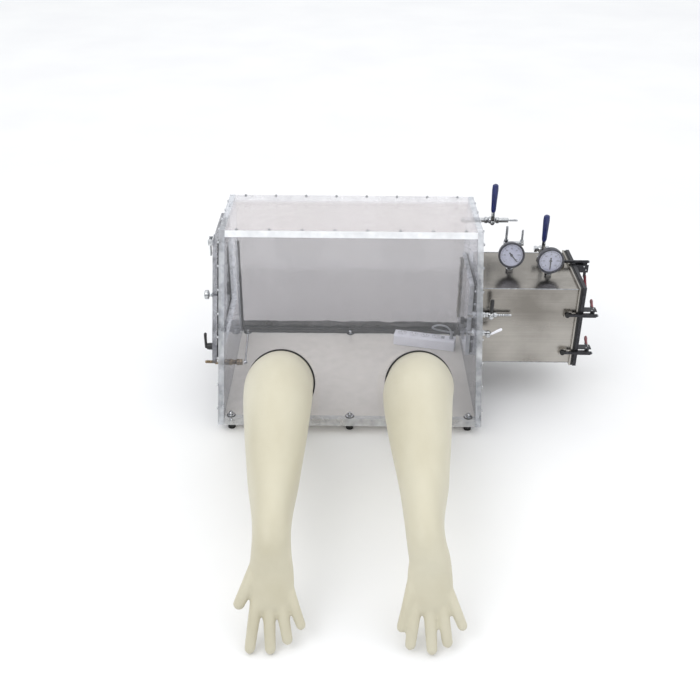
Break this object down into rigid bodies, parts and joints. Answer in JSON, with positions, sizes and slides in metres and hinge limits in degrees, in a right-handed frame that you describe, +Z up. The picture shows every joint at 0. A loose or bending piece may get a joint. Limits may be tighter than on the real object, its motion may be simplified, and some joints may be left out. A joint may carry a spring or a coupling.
{
  "type": "laboratory glove box",
  "caption": "Clear acrylic laboratory glove box with long sleeved gloves, a gasketed side door and a clamped steel transfer chamber with vacuum gauges and valves.",
  "frame": {"origin": "centre of the whole object's footprint box, on the surface its feet stand on", "axes": "+X to the operator's right, towards the transfer chamber; +Y away from the operator; +Z up"},
  "size_m": [1.3738, 1.6264, 0.697],
  "materials": {
    "acrylic": "clear cast sheet, polished edges",
    "latex": "matt cream dipped latex",
    "rubber": "matt black",
    "seal_rubber": "matt black sponge strip",
    "port_plastic": "clear turned ring",
    "stainless": "brushed stainless steel",
    "dark_steel": "dark plated steel",
    "red_grip": "dipped dark red vinyl on steel",
    "gauge_bezel": "dark grey case",
    "gauge_needle": "black",
    "blue_grip": "dipped blue vinyl on steel",
    "white_plastic": "white moulding",
    "cable": "light grey sheath",
    "black_plastic": "black moulding",
    "chrome": "polished plated brass"
  },
  "bodies": {
    "chamber": {"floor_panel": "acrylic", "roof_panel": "acrylic", "back_panel": "acrylic", "front_panel": "acrylic", "left_wall": "acrylic", "right_wall": "acrylic", "foot_front_left": "rubber", "foot_front_middle": "rubber", "foot_front_right": "rubber", "foot_back_left": "rubber", "foot_back_middle": "rubber", "foot_back_right": "rubber", "port_ring_left": "port_plastic", "cuff_band_left": "rubber", "glove_left": "latex", "port_ring_right": "port_plastic", "cuff_band_right": "rubber", "glove_right": "latex", "transfer_chamber": "stainless", "outer_door_seal": "seal_rubber", "inner_door_seal": "seal_rubber", "left_door_seal": "seal_rubber", "inner_hinge_wall_leaf": "stainless", "left_hinge_wall_leaf": "stainless", "main_valve_body": "dark_steel", "chamber_valve_body": "chrome", "purge_valve_body": "chrome", "needle_valve_body": "chrome", "drain_valve_body": "chrome", "gauge_case_left": "gauge_bezel", "gauge_case_right": "gauge_bezel", "gauge_manifold": "chrome", "power_strip": "white_plastic", "power_cord": "cable", "cable_gland": "black_plastic"},
    "left_door": {"left_door": "acrylic", "left_door_hinge_leaf": "stainless", "left_door_catch_base": "chrome"},
    "left_door_knob": {"left_door_knob": "chrome"},
    "left_door_latch": {"left_door_latch": "black_plastic"},
    "left_door_catch": {"left_door_catch": "chrome"},
    "inner_door": {"inner_door": "acrylic", "inner_door_hinge_leaf": "stainless"},
    "inner_door_knob": {"inner_door_knob": "black_plastic"},
    "outer_door": {"outer_door": "stainless"},
    "main_valve_lever": {"main_valve_lever": "blue_grip"},
    "chamber_valve_lever": {"chamber_valve_lever": "blue_grip"},
    "purge_valve_lever": {"purge_valve_lever": "black_plastic"},
    "needle_valve_lever": {"needle_valve_lever": "white_plastic"},
    "drain_valve_lever": {"drain_valve_lever": "chrome"},
    "gauge_needle_left": {"gauge_needle_left": "gauge_needle"},
    "gauge_needle_right": {"gauge_needle_right": "gauge_needle"},
    "clamp_handle_front_upper": {"clamp_handle_front_upper": "red_grip"},
    "clamp_hook_front_upper": {"clamp_hook_front_upper": "dark_steel"},
    "clamp_handle_front_lower": {"clamp_handle_front_lower": "red_grip"},
    "clamp_hook_front_lower": {"clamp_hook_front_lower": "dark_steel"},
    "clamp_handle_top": {"clamp_handle_top": "red_grip"},
    "clamp_hook_top": {"clamp_hook_top": "dark_steel"},
    "clamp_handle_bottom": {"clamp_handle_bottom": "red_grip"},
    "clamp_hook_bottom": {"clamp_hook_bottom": "dark_steel"}
  },
  "joints": [
    {"name": "left_door_swing", "type": "hinge", "parent": "chamber", "child": "left_door", "pos_m": [-0.6389, 0.74217, 0.39], "axis": [0, 0, -1], "range_deg": [0, 110]},
    {"name": "left_door_knob_turn", "type": "hinge", "parent": "left_door", "child": "left_door_knob", "pos_m": [-0.6465, 0.41617, 0.401], "axis": [-1, 0, 0], "continuous": true},
    {"name": "left_door_latch_turn", "type": "hinge", "parent": "left_door", "child": "left_door_latch", "pos_m": [-0.6465, 0.33617, 0.242], "axis": [-1, 0, 0], "range_deg": [0, 90]},
    {"name": "left_door_catch_lift", "type": "hinge", "parent": "left_door", "child": "left_door_catch", "pos_m": [-0.6605, 0.52217, 0.556], "axis": [0, 1, 0], "range_deg": [0, 85]},
    {"name": "inner_door_swing", "type": "hinge", "parent": "chamber", "child": "inner_door", "pos_m": [0.2436, 0.70917, 0.303], "axis": [0, 0, -1], "range_deg": [0, 95]},
    {"name": "inner_door_knob_turn", "type": "hinge", "parent": "inner_door", "child": "inner_door_knob", "pos_m": [0.2271, 0.43317, 0.3], "axis": [-1, 0, 0], "continuous": true},
    {"name": "outer_door_swing", "type": "hinge", "parent": "chamber", "child": "outer_door", "pos_m": [0.6234, 0.71917, 0.298], "axis": [0, 0, 1], "range_deg": [0, 110]},
    {"name": "clamp_front_upper_release", "type": "hinge", "parent": "outer_door", "child": "clamp_handle_front_upper", "pos_m": [0.6674, 0.40917, 0.351], "axis": [0, 0, -1], "range_deg": [0, 95]},
    {"name": "clamp_front_upper_hook_lift", "type": "hinge", "parent": "outer_door", "child": "clamp_hook_front_upper", "pos_m": [0.6594, 0.39617, 0.351], "axis": [0, 0, 1], "range_deg": [0, 12]},
    {"name": "clamp_front_lower_release", "type": "hinge", "parent": "outer_door", "child": "clamp_handle_front_lower", "pos_m": [0.6674, 0.40917, 0.202], "axis": [0, 0, -1], "range_deg": [0, 95]},
    {"name": "clamp_front_lower_hook_lift", "type": "hinge", "parent": "outer_door", "child": "clamp_hook_front_lower", "pos_m": [0.6594, 0.39617, 0.202], "axis": [0, 0, 1], "range_deg": [0, 12]},
    {"name": "clamp_top_release", "type": "hinge", "parent": "outer_door", "child": "clamp_handle_top", "pos_m": [0.6674, 0.58917, 0.432], "axis": [0, -1, 0], "range_deg": [0, 95]},
    {"name": "clamp_top_hook_lift", "type": "hinge", "parent": "outer_door", "child": "clamp_hook_top", "pos_m": [0.6594, 0.58917, 0.445], "axis": [0, 1, 0], "range_deg": [0, 12]},
    {"name": "clamp_bottom_release", "type": "hinge", "parent": "outer_door", "child": "clamp_handle_bottom", "pos_m": [0.6674, 0.58917, 0.165], "axis": [0, 1, 0], "range_deg": [0, 95]},
    {"name": "clamp_bottom_hook_lift", "type": "hinge", "parent": "outer_door", "child": "clamp_hook_bottom", "pos_m": [0.6594, 0.58917, 0.152], "axis": [0, -1, 0], "range_deg": [0, 12]},
    {"name": "main_valve_turn", "type": "hinge", "parent": "chamber", "child": "main_valve_lever", "pos_m": [0.3441, 0.74017, 0.541], "axis": [0, 1, 0], "range_deg": [0, 90]},
    {"name": "chamber_valve_turn", "type": "hinge", "parent": "chamber", "child": "chamber_valve_lever", "pos_m": [0.5131, 0.61217, 0.484], "axis": [0, 1, 0], "range_deg": [0, 90]},
    {"name": "purge_valve_turn", "type": "hinge", "parent": "chamber", "child": "purge_valve_lever", "pos_m": [0.3081, 0.36317, 0.35], "axis": [0, 1, 0], "range_deg": [0, 90]},
    {"name": "needle_valve_turn", "type": "hinge", "parent": "chamber", "child": "needle_valve_lever", "pos_m": [0.2991, 0.34217, 0.291], "axis": [0, 1, 0], "range_deg": [0, 90]},
    {"name": "drain_valve_turn", "type": "hinge", "parent": "chamber", "child": "drain_valve_lever", "pos_m": [-0.5496, 0.38517, 0.15], "axis": [1, 0, 0], "range_deg": [0, 90]},
    {"name": "gauge_needle_left_turn", "type": "hinge", "parent": "chamber", "child": "gauge_needle_left", "pos_m": [0.3861, 0.53217, 0.51], "axis": [0, -0.9848, 0.1736], "range_deg": [0, 270]},
    {"name": "gauge_needle_right_turn", "type": "hinge", "parent": "chamber", "child": "gauge_needle_right", "pos_m": [0.5171, 0.49817, 0.506], "axis": [0, 0.9994, -0.0349], "range_deg": [0, 270]}
  ],
  "couplings": [
    {"joint": "clamp_front_upper_hook_lift", "follows": "clamp_front_upper_release", "ratio": 0.126},
    {"joint": "clamp_front_lower_hook_lift", "follows": "clamp_front_lower_release", "ratio": 0.126},
    {"joint": "clamp_top_hook_lift", "follows": "clamp_top_release", "ratio": 0.126},
    {"joint": "clamp_bottom_hook_lift", "follows": "clamp_bottom_release", "ratio": 0.126}
  ]
}
